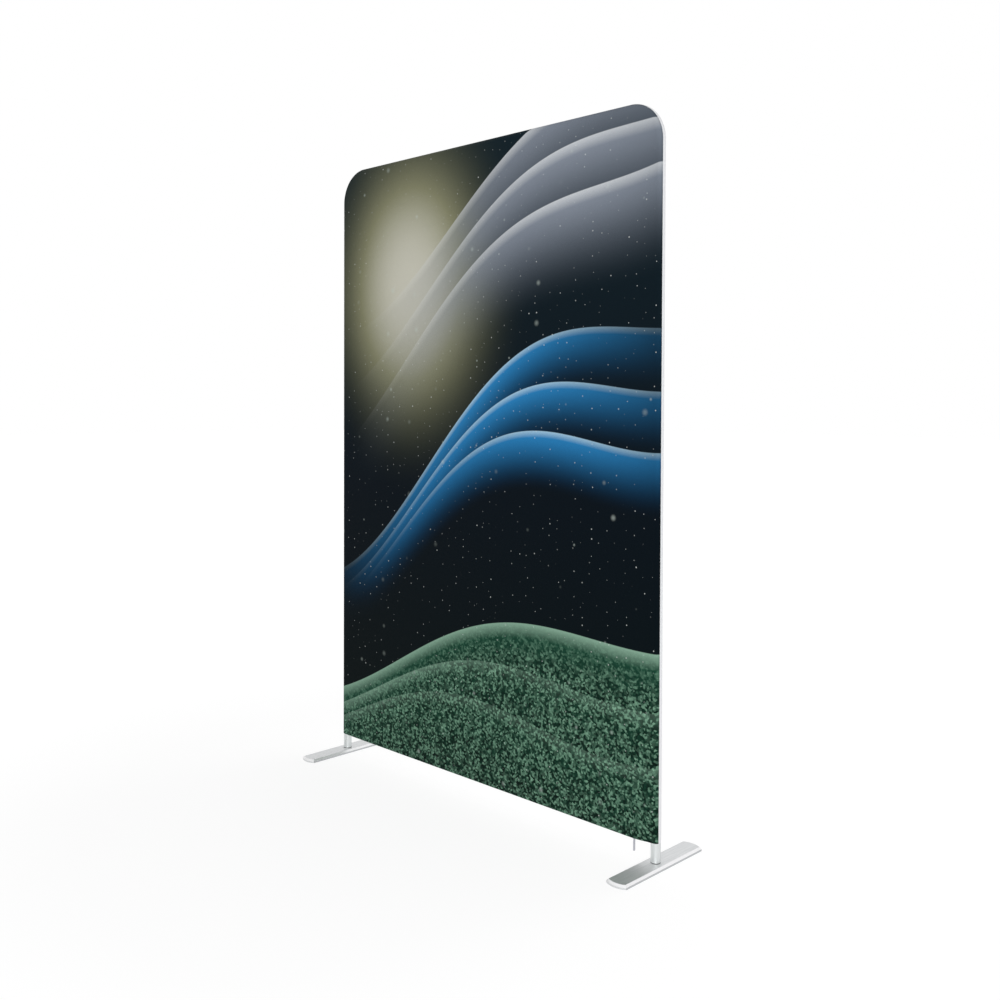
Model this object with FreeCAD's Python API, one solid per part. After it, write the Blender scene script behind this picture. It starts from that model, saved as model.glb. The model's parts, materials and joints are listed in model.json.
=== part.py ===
# Fabric tube display: a knock-down aluminium tube frame that stands on two steel feet,
# with a stretch fabric cover pulled over it like a pillowcase and zipped shut underneath.
# Millimetres. +Z is up, -Y is the printed front, and the origin is on the floor midway
# between the two poles.
import FreeCAD
import Part
import math
import os

from FreeCAD import Vector

# Cover: outside width, top and underside of the fabric, and how it sits on the tubes.
COVER_WIDTH = 1524.0
COVER_TOP = 2264.0
COVER_BOTTOM = 67.0
FABRIC_THICKNESS = 0.7
FABRIC_GAP = 0.3
SEAM_ANGLE = 68.0

# Tubes: one extrusion is used for the poles, corners, top rail and bottom bar.
TUBE_DIAMETER = 30.0
TUBE_WALL = 1.5
CORNER_BEND_RADIUS = 105.0
CORNER_TAIL = 130.0
LOWER_POLE_LENGTH = 1000.0

# Spigots: inner sleeves that are riveted into one tube and slide into the next.
SPIGOT_CLEARANCE = 0.1
SPIGOT_WALL = 1.8
SPIGOT_REACH = 60.0

# Snap buttons: sprung pins that lock each slip joint, pressed in to release it.
BUTTON_DIAMETER = 6.35
BUTTON_CLEARANCE = 0.1
BUTTON_STANDOUT = 2.5
BUTTON_DOME_HEIGHT = 2.2
BUTTON_FLANGE_DIAMETER = 11.0
BUTTON_FLANGE_THICKNESS = 1.0
BUTTON_FROM_JOINT = 30.0

# Button springs: a steel strip folded into a V inside each spigot.
SPRING_THICKNESS = 0.6
SPRING_WIDTH = 7.0
SPRING_REACH = 24.0
SPRING_PAD = 5.5
SPRING_FOLD_RADIUS = 2.0
SPRING_SEAT_GAP = 0.1
SPRING_END_ROOM = 3.0

# Blind rivets that fix each spigot in its tube.
RIVET_DIAMETER = 4.0
RIVET_CLEARANCE = 0.05
RIVET_HEAD_DIAMETER = 8.0
RIVET_HEAD_HEIGHT = 1.2
RIVET_TAIL_DIAMETER = 6.0
RIVET_TAIL_HEIGHT = 2.0
RIVET_FROM_JOINT = 30.0

# Bar stubs: saddle-ended plugs screwed to the poles, which carry the bottom bar.
STUB_COLLAR = 12.0
STUB_SADDLE_DEPTH = 6.0
STUB_SCREW_DIAMETER = 6.0
STUB_SCREW_CLEARANCE = 0.05
STUB_SCREW_ENGAGEMENT = 11.0
STUB_SCREW_HEAD_DIAMETER = 10.0
STUB_SCREW_HEAD_HEIGHT = 5.0
STUB_SCREW_SOCKET = 4.0
STUB_SCREW_SOCKET_DEPTH = 3.0
STUB_WASHER_DIAMETER = 13.0
STUB_WASHER_THICKNESS = 1.6
ACCESS_HOLE_DIAMETER = 12.0
SEAT_GAP = 0.05

# Feet: bevelled flat steel with bowed ends, a screwed-on post and glued-on pads.
FOOT_LENGTH = 395.0
FOOT_WIDTH = 72.0
FOOT_THICKNESS = 12.0
FOOT_BEVEL = 6.0
FOOT_END_BOW = 11.0
PAD_DIAMETER = 18.0
PAD_THICKNESS = 1.0
PAD_FROM_SIDE = 14.0
PAD_FROM_END = 32.0
POST_TOP_ROOM = 16.0
POST_CHAMFER = 1.5
FOOT_SCREW_DIAMETER = 8.0
FOOT_SCREW_CLEARANCE = 0.05
FOOT_SCREW_HEAD_DIAMETER = 15.0
FOOT_SCREW_LENGTH = 32.0
FOOT_SCREW_SOCKET = 5.0
FOOT_SCREW_SOCKET_DEPTH = 3.0

# Pole bushes: flanged plastic liners in the pole ends, which turn on the posts.
BUSH_WALL = 1.5
BUSH_LENGTH = 30.0
BUSH_FLANGE = 1.5
BUSH_PRESS_GAP = 0.05
BUSH_RUNNING_GAP = 0.08

# Zip: a coil zip along the underside, with its slider parked near the right pole.
ZIP_ROOM = 2.8
ZIP_END_MARGIN = 51.0
ZIP_TAPE_WIDTH = 8.0
ZIP_COIL_WIDTH = 1.6
ZIP_COIL_HEIGHT = 1.8
ZIP_COIL_GAP = 1.0
ZIP_STOP_LENGTH = 3.0
SLIDER_LENGTH = 14.0
SLIDER_WIDTH = 9.0
SLIDER_PLATE = 1.0
SLIDER_CLEARANCE = 0.25
SLIDER_PARK_GAP = 6.5
SLIDER_CORNER = 2.5
SLIDER_WEB_LENGTH = 4.0
SLIDER_WEB_SIDE_GAP = 0.2
SLIDER_EAR_THICKNESS = 1.2
SLIDER_EAR_LENGTH = 4.4
PULL_PIN_DIAMETER = 1.6
PULL_PIN_DROP = 2.8
PULL_BORE_CLEARANCE = 0.08
PULL_KNUCKLE_WALL = 0.8
PULL_SIDE_GAP = 0.3
PULL_LENGTH = 39.5
PULL_NECK_WIDTH = 5.0
PULL_NECK_LENGTH = 3.6
PULL_TAPER_LENGTH = 3.0
PULL_WIDTH = 9.0
PULL_THICKNESS = 1.6

FRONT = Vector(0, -1, 0)
BACK = Vector(0, 1, 0)
UP = Vector(0, 0, 1)
DOWN = Vector(0, 0, -1)
RIGHT = Vector(1, 0, 0)
SIDES = {"left": -1, "right": 1}

# Sizes that follow from the ones above.
tube_r = TUBE_DIAMETER / 2
bore_r = tube_r - TUBE_WALL
spigot_r = bore_r - SPIGOT_CLEARANCE
spigot_bore_r = spigot_r - SPIGOT_WALL
fabric_in_r = tube_r + FABRIC_GAP
fabric_out_r = fabric_in_r + FABRIC_THICKNESS
pole_x = COVER_WIDTH / 2 - fabric_out_r
rail_z = COVER_TOP - fabric_out_r
bend_x = pole_x - CORNER_BEND_RADIUS
bend_z = rail_z - CORNER_BEND_RADIUS
plate_top = PAD_THICKNESS + FOOT_THICKNESS
pole_foot = plate_top + BUSH_FLANGE
pole_split = pole_foot + LOWER_POLE_LENGTH
corner_joint = bend_z - CORNER_TAIL
rail_joint = bend_x - CORNER_TAIL
bar_z = COVER_BOTTOM + FABRIC_THICKNESS + ZIP_ROOM + tube_r
bar_end = pole_x - tube_r - STUB_COLLAR
zip_end = pole_x - tube_r - ZIP_END_MARGIN
coil_outer = ZIP_COIL_GAP / 2 + ZIP_COIL_WIDTH
tape_outer = coil_outer + ZIP_TAPE_WIDTH
tape_middle_z = COVER_BOTTOM + FABRIC_THICKNESS / 2
button_hole_r = BUTTON_DIAMETER / 2 + BUTTON_CLEARANCE
rivet_hole_r = RIVET_DIAMETER / 2 + RIVET_CLEARANCE


def rod(start, direction, radius, length):
    """A solid round bar."""
    return Part.makeCylinder(radius, length, start, direction)


def pipe(start, direction, outer, inner, length):
    """A round tube."""
    return rod(start, direction, outer, length).cut(rod(start, direction, inner, length))


def block(low, high):
    """A box between two corners."""
    size = high - low
    return Part.makeBox(size.x, size.y, size.z, low)


def polygon_face(points):
    """A flat face inside straight edges."""
    return Part.Face(Part.makePolygon(points + points[:1]))


def turned(profile):
    """A solid of revolution about local Z, from (radius, height) points starting and ending on the axis."""
    return polygon_face([Vector(r, 0, z) for r, z in profile]).revolve(Vector(), UP, 360)


def set_at(shape, origin, along, out):
    """Moves a shape so that its local X runs along and its local Z points out, at origin."""
    side = out.cross(along)
    matrix = FreeCAD.Matrix(
        along.x, side.x, out.x, origin.x,
        along.y, side.y, out.y, origin.y,
        along.z, side.z, out.z, origin.z,
    )
    return shape.transformed(matrix)


def drilled(shape, point, out, radius):
    """A hole through one wall of a tube, from a point on its axis outwards."""
    return shape.cut(rod(point, out, radius, TUBE_DIAMETER))


def hexagon(across_flats, base, direction, depth):
    """A hexagonal prism, for a key socket."""
    corner = across_flats / math.sqrt(3)
    turns = [math.radians(60 * n) for n in range(6)]
    face = polygon_face([Vector(corner * math.cos(t), corner * math.sin(t), 0) for t in turns])
    prism = face.extrude(UP * depth)
    along = RIGHT if abs(direction.dot(RIGHT)) < 0.5 else UP
    return set_at(prism, base, along, direction)


# Slip joints. Each has the point where two tubes meet, the way the sliding tube lies from
# there, and the way its button faces, which is always into the frame and off the fabric.
def slip_joints():
    found = {}
    for name, side in SIDES.items():
        inwards = Vector(-side, 0, 0)
        found[name + "_pole"] = (Vector(side * pole_x, 0, pole_split), UP, inwards)
        found[name + "_corner"] = (Vector(side * pole_x, 0, corner_joint), UP, inwards)
        found[name + "_rail"] = (Vector(side * rail_joint, 0, rail_z), inwards, DOWN)
        found[name + "_bar"] = (Vector(side * bar_end, 0, bar_z), inwards, UP)
    found["bar_centre"] = (Vector(0, 0, bar_z), RIGHT, UP)
    return found


JOINTS = slip_joints()


def button_drilled(shape, joint):
    point, along, out = JOINTS[joint]
    return drilled(shape, point + along * BUTTON_FROM_JOINT, out, button_hole_r)


def rivet_drilled(shape, joint):
    point, along, out = JOINTS[joint]
    return drilled(shape, point - along * RIVET_FROM_JOINT, out, rivet_hole_r)


# Frame tubes.
def lower_pole(name, side):
    foot = Vector(side * pole_x, 0, pole_foot)
    tube = pipe(foot, UP, tube_r, bore_r, LOWER_POLE_LENGTH)
    bar_point = Vector(side * pole_x, 0, bar_z)
    screw_hole_r = STUB_SCREW_DIAMETER / 2 + STUB_SCREW_CLEARANCE
    tube = drilled(tube, bar_point, Vector(-side, 0, 0), screw_hole_r)
    tube = drilled(tube, bar_point, Vector(side, 0, 0), ACCESS_HOLE_DIAMETER / 2)
    return rivet_drilled(tube, name + "_pole")


def upper_pole(name, side):
    start = Vector(side * pole_x, 0, pole_split)
    tube = pipe(start, UP, tube_r, bore_r, corner_joint - pole_split)
    tube = button_drilled(tube, name + "_pole")
    return rivet_drilled(tube, name + "_corner")


def bent_rod(side, radius):
    """The solid line of a corner: a straight tail, a quarter bend and another tail."""
    tail = rod(Vector(side * pole_x, 0, corner_joint), UP, radius, CORNER_TAIL)
    start = Part.Face(Part.Wire(Part.makeCircle(radius, Vector(side * pole_x, 0, bend_z), UP)))
    bend = start.revolve(Vector(side * bend_x, 0, bend_z), Vector(0, -side, 0), 90)
    top_tail = rod(Vector(side * bend_x, 0, rail_z), Vector(-side, 0, 0), radius, CORNER_TAIL)
    return tail.fuse([bend, top_tail]).removeSplitter()


def corner_tube(name, side):
    tube = bent_rod(side, tube_r).cut(bent_rod(side, bore_r))
    tube = button_drilled(tube, name + "_corner")
    return rivet_drilled(tube, name + "_rail")


def top_rail():
    rail = pipe(Vector(-rail_joint, 0, rail_z), RIGHT, tube_r, bore_r, 2 * rail_joint)
    for name in SIDES:
        rail = button_drilled(rail, name + "_rail")
    return rail


def bottom_bar(name, side):
    start = Vector(min(0, side * bar_end), 0, bar_z)
    bar = button_drilled(pipe(start, RIGHT, tube_r, bore_r, bar_end), name + "_bar")
    if name == "left":
        return rivet_drilled(bar, "bar_centre")
    return button_drilled(bar, "bar_centre")


# What joins the tubes.
def spigot(joint):
    point, along, out = JOINTS[joint]
    sleeve = pipe(point - along * SPIGOT_REACH, along, spigot_r, spigot_bore_r, 2 * SPIGOT_REACH)
    return rivet_drilled(button_drilled(sleeve, joint), joint)


def bar_stub(name, side):
    """A plug with a half-moon saddle against the pole and a hollow nose inside the bar."""
    joint = name + "_bar"
    point, along, out = JOINTS[joint]
    outwards = along * -1
    collar = rod(point, outwards, tube_r, STUB_COLLAR + STUB_SADDLE_DEPTH)
    pole = rod(Vector(side * pole_x, 0, bar_z - TUBE_DIAMETER), UP, tube_r + SEAT_GAP, 2 * TUBE_DIAMETER)
    nose = rod(point, along, spigot_r, SPIGOT_REACH)
    stub = collar.cut(pole).fuse(nose).removeSplitter()
    floor = BUTTON_FROM_JOINT - SPRING_REACH - SPRING_END_ROOM
    stub = stub.cut(rod(point + along * floor, along, spigot_bore_r, SPIGOT_REACH))
    thread_r = STUB_SCREW_DIAMETER / 2 + STUB_SCREW_CLEARANCE
    stub = stub.cut(rod(point + outwards * STUB_COLLAR * 2, along, thread_r, STUB_COLLAR * 2 + floor))
    return button_drilled(stub, joint)


def stub_screw_seat(side):
    """The point on the pole's inner wall where a stub's screw passes, and the way into the stub."""
    into_stub = Vector(-side, 0, 0)
    return Vector(side * pole_x, 0, bar_z) + into_stub * bore_r, into_stub


def inside_pole(side, radius):
    return rod(Vector(side * pole_x, 0, bar_z - TUBE_DIAMETER), UP, radius, 2 * TUBE_DIAMETER)


def stub_washer(side):
    """A washer curved to the pole's bore, so that the flat screw head bears on it."""
    seat, into_stub = stub_screw_seat(side)
    edge = STUB_WASHER_DIAMETER / 2
    sag = bore_r - math.sqrt(bore_r**2 - edge**2)
    face = seat - into_stub * (sag + STUB_WASHER_THICKNESS)
    disc = rod(face, into_stub, edge, sag + STUB_WASHER_THICKNESS)
    hole = rod(face, into_stub, STUB_SCREW_DIAMETER / 2 + STUB_SCREW_CLEARANCE, TUBE_DIAMETER)
    return disc.common(inside_pole(side, bore_r - SEAT_GAP)).cut(hole)


def stub_screw(side):
    seat, into_stub = stub_screw_seat(side)
    edge = STUB_WASHER_DIAMETER / 2
    sag = bore_r - math.sqrt(bore_r**2 - edge**2)
    under_head = seat - into_stub * (sag + STUB_WASHER_THICKNESS)
    top = under_head - into_stub * STUB_SCREW_HEAD_HEIGHT
    head = rod(top, into_stub, STUB_SCREW_HEAD_DIAMETER / 2, STUB_SCREW_HEAD_HEIGHT)
    reach = sag + STUB_WASHER_THICKNESS + TUBE_WALL + STUB_SCREW_ENGAGEMENT
    shank = rod(under_head, into_stub, STUB_SCREW_DIAMETER / 2, reach)
    socket = hexagon(STUB_SCREW_SOCKET, top, into_stub, STUB_SCREW_SOCKET_DEPTH)
    return head.fuse(shank).removeSplitter().cut(socket)


def rivet(joint):
    """A blind rivet: a low dome on the tube, a shank and a set tail inside the spigot."""
    point, along, out = JOINTS[joint]
    seat = tube_r + SEAT_GAP
    crown = tube_r + RIVET_HEAD_HEIGHT
    head_r = RIVET_HEAD_DIAMETER / 2
    below = tube_r - RIVET_HEAD_HEIGHT
    edge = tube_r + RIVET_HEAD_HEIGHT / 3
    head = turned([(0, below), (head_r, below), (head_r, edge), (head_r * 0.6, crown), (0, crown)])
    length = 2 * head_r
    head = head.cut(rod(Vector(-length, 0, 0), RIGHT, seat, 2 * length))
    tail_low = spigot_bore_r - RIVET_TAIL_HEIGHT
    tail = rod(Vector(0, 0, tail_low), UP, RIVET_TAIL_DIAMETER / 2, RIVET_TAIL_HEIGHT)
    tail = tail.common(rod(Vector(-length, 0, 0), RIGHT, spigot_bore_r - SEAT_GAP, 2 * length))
    shank = rod(Vector(0, 0, tail_low), UP, RIVET_DIAMETER / 2, crown - tail_low)
    whole = head.fuse([tail, shank]).removeSplitter()
    return set_at(whole, point - along * RIVET_FROM_JOINT, along, out)


# Snap buttons and their springs.
flange_r = BUTTON_FLANGE_DIAMETER / 2
flange_top = math.sqrt(spigot_bore_r**2 - flange_r**2) - SPRING_SEAT_GAP
flange_low = flange_top - BUTTON_FLANGE_THICKNESS


def snap_button(joint):
    point, along, out = JOINTS[joint]
    pin_r = BUTTON_DIAMETER / 2
    crown = tube_r + BUTTON_STANDOUT
    shoulder = crown - BUTTON_DOME_HEIGHT
    # The dome is the cap of a ball that meets the pin's side at the shoulder.
    ball_r = (pin_r**2 + BUTTON_DOME_HEIGHT**2) / (2 * BUTTON_DOME_HEIGHT)
    centre = crown - ball_r
    halfway = math.asin(pin_r / ball_r) / 2
    middle = Vector(ball_r * math.sin(halfway), 0, centre + ball_r * math.cos(halfway))
    flange = [(0, flange_low), (flange_r, flange_low), (flange_r, flange_top)]
    side = [(pin_r, flange_top), (pin_r, shoulder)]
    points = [Vector(r, 0, z) for r, z in flange + side]
    edges = [Part.makeLine(a, b) for a, b in zip(points, points[1:])]
    edges.append(Part.Arc(points[-1], middle, Vector(0, 0, crown)).toShape())
    edges.append(Part.makeLine(Vector(0, 0, crown), points[0]))
    button = Part.Face(Part.Wire(edges)).revolve(Vector(), UP, 360)
    return set_at(button, point + along * BUTTON_FROM_JOINT, along, out)


def rounded_wire(points, radius):
    """Straight runs through the points, joined by tangent arcs of one radius."""
    edges = []
    last = points[0]
    for before, corner, after in zip(points, points[1:], points[2:]):
        to_before = (before - corner).normalize()
        to_after = (after - corner).normalize()
        half_turn = (math.pi - to_before.getAngle(to_after)) / 2
        start = corner + to_before * (radius * math.tan(half_turn))
        end = corner + to_after * (radius * math.tan(half_turn))
        inside = (to_before + to_after).normalize()
        middle = corner + inside * (radius / math.cos(half_turn) - radius)
        edges.append(Part.LineSegment(last, start).toShape())
        edges.append(Part.Arc(start, middle, end).toShape())
        last = end
    edges.append(Part.LineSegment(last, points[-1]).toShape())
    return Part.Wire(edges)


def button_spring(joint):
    """A V of flat strip: one leg under the button, the other on the far wall of the spigot."""
    point, along, out = JOINTS[joint]
    half = SPRING_THICKNESS / 2
    upper = flange_low - half
    lower = SPRING_SEAT_GAP + half - math.sqrt(spigot_bore_r**2 - (SPRING_WIDTH / 2) ** 2)
    # The sharp tip lies beyond the fold by what the fold's arc cuts off.
    tip = SPRING_REACH - SPRING_FOLD_RADIUS
    upper_leg = [(SPRING_PAD, upper), (-SPRING_PAD, upper), (-tip, (upper + lower) / 2)]
    lower_leg = [(-SPRING_PAD, lower), (SPRING_PAD, lower)]
    path = rounded_wire([Vector(x, 0, z) for x, z in upper_leg + lower_leg], SPRING_FOLD_RADIUS)
    y = SPRING_WIDTH / 2
    corners = [(-y, upper - half), (y, upper - half), (y, upper + half), (-y, upper + half)]
    end = [Vector(SPRING_PAD, v, w) for v, w in corners]
    strip = path.makePipeShell([Part.makePolygon(end + end[:1])], True, False)
    return set_at(strip, point + along * BUTTON_FROM_JOINT, along, out)


# Feet.
def foot_plate(side):
    x = side * pole_x
    half_w = FOOT_WIDTH / 2
    half_l = FOOT_LENGTH / 2
    straight = half_l - FOOT_END_BOW
    z = PAD_THICKNESS
    outline = [(half_w, -straight), (half_w, straight), (-half_w, straight), (-half_w, -straight)]
    corners = [Vector(x + i, j, z) for i, j in outline]
    edges = [
        Part.makeLine(corners[0], corners[1]),
        Part.Arc(corners[1], Vector(x, half_l, z), corners[2]).toShape(),
        Part.makeLine(corners[2], corners[3]),
        Part.Arc(corners[3], Vector(x, -half_l, z), corners[0]).toShape(),
    ]
    plate = Part.Face(Part.Wire(edges)).extrude(UP * FOOT_THICKNESS)
    rim = [e for e in plate.Edges if min(v.Z for v in e.Vertexes) > plate_top - FOOT_THICKNESS / 2]
    plate = plate.makeChamfer(FOOT_BEVEL, rim)
    return plate.cut(foot_screw_space(side))


def foot_screw_profile(gap):
    """Half outline of a countersunk screw that enters from below, grown by a gap."""
    shank = FOOT_SCREW_DIAMETER / 2 + gap
    head = FOOT_SCREW_HEAD_DIAMETER / 2 + gap
    low = PAD_THICKNESS
    cone_top = low + head - shank
    tip = low + FOOT_SCREW_LENGTH + gap
    return [(0, low), (head, low), (shank, cone_top), (shank, tip), (0, tip)]


def foot_screw_space(side):
    space = turned(foot_screw_profile(FOOT_SCREW_CLEARANCE))
    return space.translated(Vector(side * pole_x, 0, 0))


def foot_screw(side):
    screw = turned(foot_screw_profile(0))
    socket = hexagon(FOOT_SCREW_SOCKET, Vector(0, 0, PAD_THICKNESS), UP, FOOT_SCREW_SOCKET_DEPTH)
    return screw.cut(socket).translated(Vector(side * pole_x, 0, 0))


post_r = bore_r - BUSH_PRESS_GAP - BUSH_WALL - BUSH_RUNNING_GAP
post_top = bar_z - STUB_WASHER_DIAMETER / 2 - POST_TOP_ROOM


def foot_post(side):
    shoulder = post_top - POST_CHAMFER
    low = [(0, plate_top), (post_r, plate_top), (post_r, shoulder)]
    high = [(post_r - POST_CHAMFER, post_top), (0, post_top)]
    post = turned(low + high).translated(Vector(side * pole_x, 0, 0))
    return post.cut(foot_screw_space(side))


def foot_pads(side):
    x = FOOT_WIDTH / 2 - PAD_FROM_SIDE
    y = FOOT_LENGTH / 2 - PAD_FROM_END
    places = [Vector(side * pole_x + i * x, j * y, 0) for i in (-1, 1) for j in (-1, 1)]
    return Part.makeCompound([rod(p, UP, PAD_DIAMETER / 2, PAD_THICKNESS) for p in places])


def pole_bush(side):
    base = Vector(side * pole_x, 0, plate_top)
    flange = rod(base, UP, tube_r, BUSH_FLANGE)
    sleeve = rod(base, UP, bore_r - BUSH_PRESS_GAP, BUSH_FLANGE + BUSH_LENGTH)
    bore = rod(base, UP, post_r + BUSH_RUNNING_GAP, BUSH_FLANGE + BUSH_LENGTH)
    return flange.fuse(sleeve).removeSplitter().cut(bore)


# Cover. Angles run round a tube from the front, over the outside of the frame, to the back.
def wrap_section(centre, outward, first, last):
    """The fabric's section round a tube, between two angles in degrees."""
    def at(radius, degrees):
        turn = math.radians(degrees)
        return centre + outward * (radius * math.sin(turn)) + FRONT * (radius * math.cos(turn))

    middle = (first + last) / 2
    outside = Part.Arc(at(fabric_out_r, first), at(fabric_out_r, middle), at(fabric_out_r, last))
    inside = Part.Arc(at(fabric_in_r, last), at(fabric_in_r, middle), at(fabric_in_r, first))
    ends = [
        Part.makeLine(at(fabric_out_r, last), at(fabric_in_r, last)),
        Part.makeLine(at(fabric_in_r, first), at(fabric_out_r, first)),
    ]
    return Part.Face(Part.Wire([outside.toShape(), ends[0], inside.toShape(), ends[1]]))


def edge_wrap(first, last):
    """The fabric wrapped on both poles, both corners and the top rail."""
    pieces = []
    for side in SIDES.values():
        outward = Vector(side, 0, 0)
        low = wrap_section(Vector(side * pole_x, 0, COVER_BOTTOM), outward, first, last)
        pieces.append(low.extrude(UP * (bend_z - COVER_BOTTOM)))
        high = wrap_section(Vector(side * pole_x, 0, bend_z), outward, first, last)
        pieces.append(high.revolve(Vector(side * bend_x, 0, bend_z), Vector(0, -side, 0), 90))
    top = wrap_section(Vector(-bend_x, 0, rail_z), UP, first, last)
    pieces.append(top.extrude(RIGHT * (2 * bend_x)))
    return pieces


def flat_panel(facing):
    """The taut sheet between the tubes, on the front or the back."""
    y = facing.y * fabric_out_r
    diagonal = CORNER_BEND_RADIUS * math.sqrt(0.5)
    edges = []
    last = Vector(pole_x, y, COVER_BOTTOM)
    for side in (1, -1):
        shoulder = Vector(side * pole_x, y, bend_z)
        crown = Vector(side * bend_x, y, rail_z)
        middle = Vector(side * (bend_x + diagonal), y, bend_z + diagonal)
        first, second = (shoulder, crown) if side > 0 else (crown, shoulder)
        edges.append(Part.makeLine(last, first))
        edges.append(Part.Arc(first, middle, second).toShape())
        last = second
    low_left = Vector(-pole_x, y, COVER_BOTTOM)
    edges.append(Part.makeLine(last, low_left))
    edges.append(Part.makeLine(low_left, Vector(pole_x, y, COVER_BOTTOM)))
    return Part.Face(Part.Wire(edges)).extrude(facing * -FABRIC_THICKNESS)


def underside(facing):
    """The fabric turned under the bar as far as the zip, and sewn shut past the zip's ends."""
    def strip(x_low, x_high, reach):
        ys = sorted([facing.y * fabric_out_r, facing.y * reach])
        top = COVER_BOTTOM + FABRIC_THICKNESS
        return block(Vector(x_low, ys[0], COVER_BOTTOM), Vector(x_high, ys[1], top))

    end = zip_end + ZIP_STOP_LENGTH
    under = strip(-pole_x, pole_x, tape_outer).fuse([strip(-pole_x, -end, 0), strip(end, pole_x, 0)])
    hole_r = fabric_in_r + FABRIC_THICKNESS / 2
    for side in SIDES.values():
        under = under.cut(rod(Vector(side * pole_x, 0, 0), UP, hole_r, bar_z))
    return under


def cover_panel(facing, first, last):
    pieces = edge_wrap(first, last)
    return flat_panel(facing).fuse(pieces + [underside(facing)]).removeSplitter()


# Zip.
def zip_tape(facing):
    ys = sorted([facing.y * coil_outer, facing.y * tape_outer])
    end = zip_end + ZIP_STOP_LENGTH
    return block(Vector(-end, ys[0], COVER_BOTTOM), Vector(end, ys[1], COVER_BOTTOM + FABRIC_THICKNESS))


def zip_row(facing, x_low, x_high):
    """A stretch of one coil row, or of the stop that ends it."""
    ys = sorted([facing.y * ZIP_COIL_GAP / 2, facing.y * coil_outer])
    half = ZIP_COIL_HEIGHT / 2
    return block(Vector(x_low, ys[0], tape_middle_z - half), Vector(x_high, ys[1], tape_middle_z + half))


def zip_coils():
    return Part.makeCompound([zip_row(f, -zip_end, zip_end) for f in (FRONT, BACK)])


def zip_stops():
    ends = [(-zip_end - ZIP_STOP_LENGTH, -zip_end), (zip_end, zip_end + ZIP_STOP_LENGTH)]
    return Part.makeCompound([zip_row(f, low, high) for f in (FRONT, BACK) for low, high in ends])


slider_x = zip_end - SLIDER_PARK_GAP - SLIDER_LENGTH / 2
inner_plate_low = tape_middle_z + ZIP_COIL_HEIGHT / 2 + SLIDER_CLEARANCE
outer_plate_top = tape_middle_z - ZIP_COIL_HEIGHT / 2 - SLIDER_CLEARANCE
outer_plate_low = outer_plate_top - SLIDER_PLATE
pin_z = outer_plate_low - PULL_PIN_DROP
pin_r = PULL_PIN_DIAMETER / 2
knuckle_r = pin_r + PULL_BORE_CLEARANCE + PULL_KNUCKLE_WALL
knuckle_length = SLIDER_WIDTH - 2 * (SLIDER_EAR_THICKNESS + PULL_SIDE_GAP + SLIDER_CLEARANCE)


def slider_plate(low):
    half_l = SLIDER_LENGTH / 2
    half_w = SLIDER_WIDTH / 2
    far = Vector(slider_x + half_l, half_w, low + SLIDER_PLATE)
    plate = block(Vector(slider_x - half_l, -half_w, low), far)
    upright = [e for e in plate.Edges if abs(e.Vertexes[0].Z - e.Vertexes[1].Z) > SLIDER_PLATE / 2]
    return plate.makeFillet(SLIDER_CORNER, upright)


def slider_ear(face_y):
    """One ear that holds an end of the pull's pin, rounded about that pin."""
    half = SLIDER_EAR_LENGTH / 2
    lug = rod(Vector(slider_x, face_y, pin_z), BACK, half, SLIDER_EAR_THICKNESS)
    far = Vector(slider_x + half, face_y + SLIDER_EAR_THICKNESS, outer_plate_low)
    neck = block(Vector(slider_x - half, face_y, pin_z), far)
    return lug.fuse(neck)


def zip_slider():
    """Two plates over the coils, a web between the rows, and ears with a pin for the pull."""
    half_web = ZIP_COIL_GAP / 2 - SLIDER_WEB_SIDE_GAP
    web_start = slider_x + SLIDER_LENGTH / 2 - SLIDER_CORNER - SLIDER_WEB_LENGTH
    web_far = Vector(web_start + SLIDER_WEB_LENGTH, half_web, inner_plate_low)
    web = block(Vector(web_start, -half_web, outer_plate_top), web_far)
    ear_y = knuckle_length / 2 + PULL_SIDE_GAP
    ear_far = ear_y + SLIDER_EAR_THICKNESS
    ears = [slider_ear(ear_y), slider_ear(-ear_far)]
    pin = rod(Vector(slider_x, -ear_far, pin_z), BACK, pin_r, 2 * ear_far)
    plates = [slider_plate(outer_plate_low), slider_plate(inner_plate_low)]
    return plates[0].fuse([plates[1], web, pin] + ears).removeSplitter()


def zip_pull():
    """A hanging tab: a knuckle on the pin, a short neck between the ears, and a wide rounded end."""
    knuckle = rod(Vector(slider_x, -knuckle_length / 2, pin_z), BACK, knuckle_r, knuckle_length)
    x = slider_x - PULL_THICKNESS / 2
    end_z = pin_z - PULL_LENGTH + PULL_WIDTH / 2
    neck = PULL_NECK_WIDTH / 2
    wide = PULL_WIDTH / 2
    neck_z = pin_z - PULL_NECK_LENGTH
    half = [(neck, pin_z), (neck, neck_z), (wide, neck_z - PULL_TAPER_LENGTH), (wide, end_z)]
    other_half = [(-y, z) for y, z in reversed(half)]
    outline = [Vector(x, y, z) for y, z in half + other_half]
    tab = polygon_face(outline).extrude(RIGHT * PULL_THICKNESS)
    tip = rod(Vector(x, 0, end_z), RIGHT, wide, PULL_THICKNESS)
    pull = knuckle.fuse([tab, tip]).removeSplitter()
    bore = rod(Vector(slider_x, -SLIDER_WIDTH, pin_z), BACK, pin_r + PULL_BORE_CLEARANCE, 2 * SLIDER_WIDTH)
    return pull.cut(bore)


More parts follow.
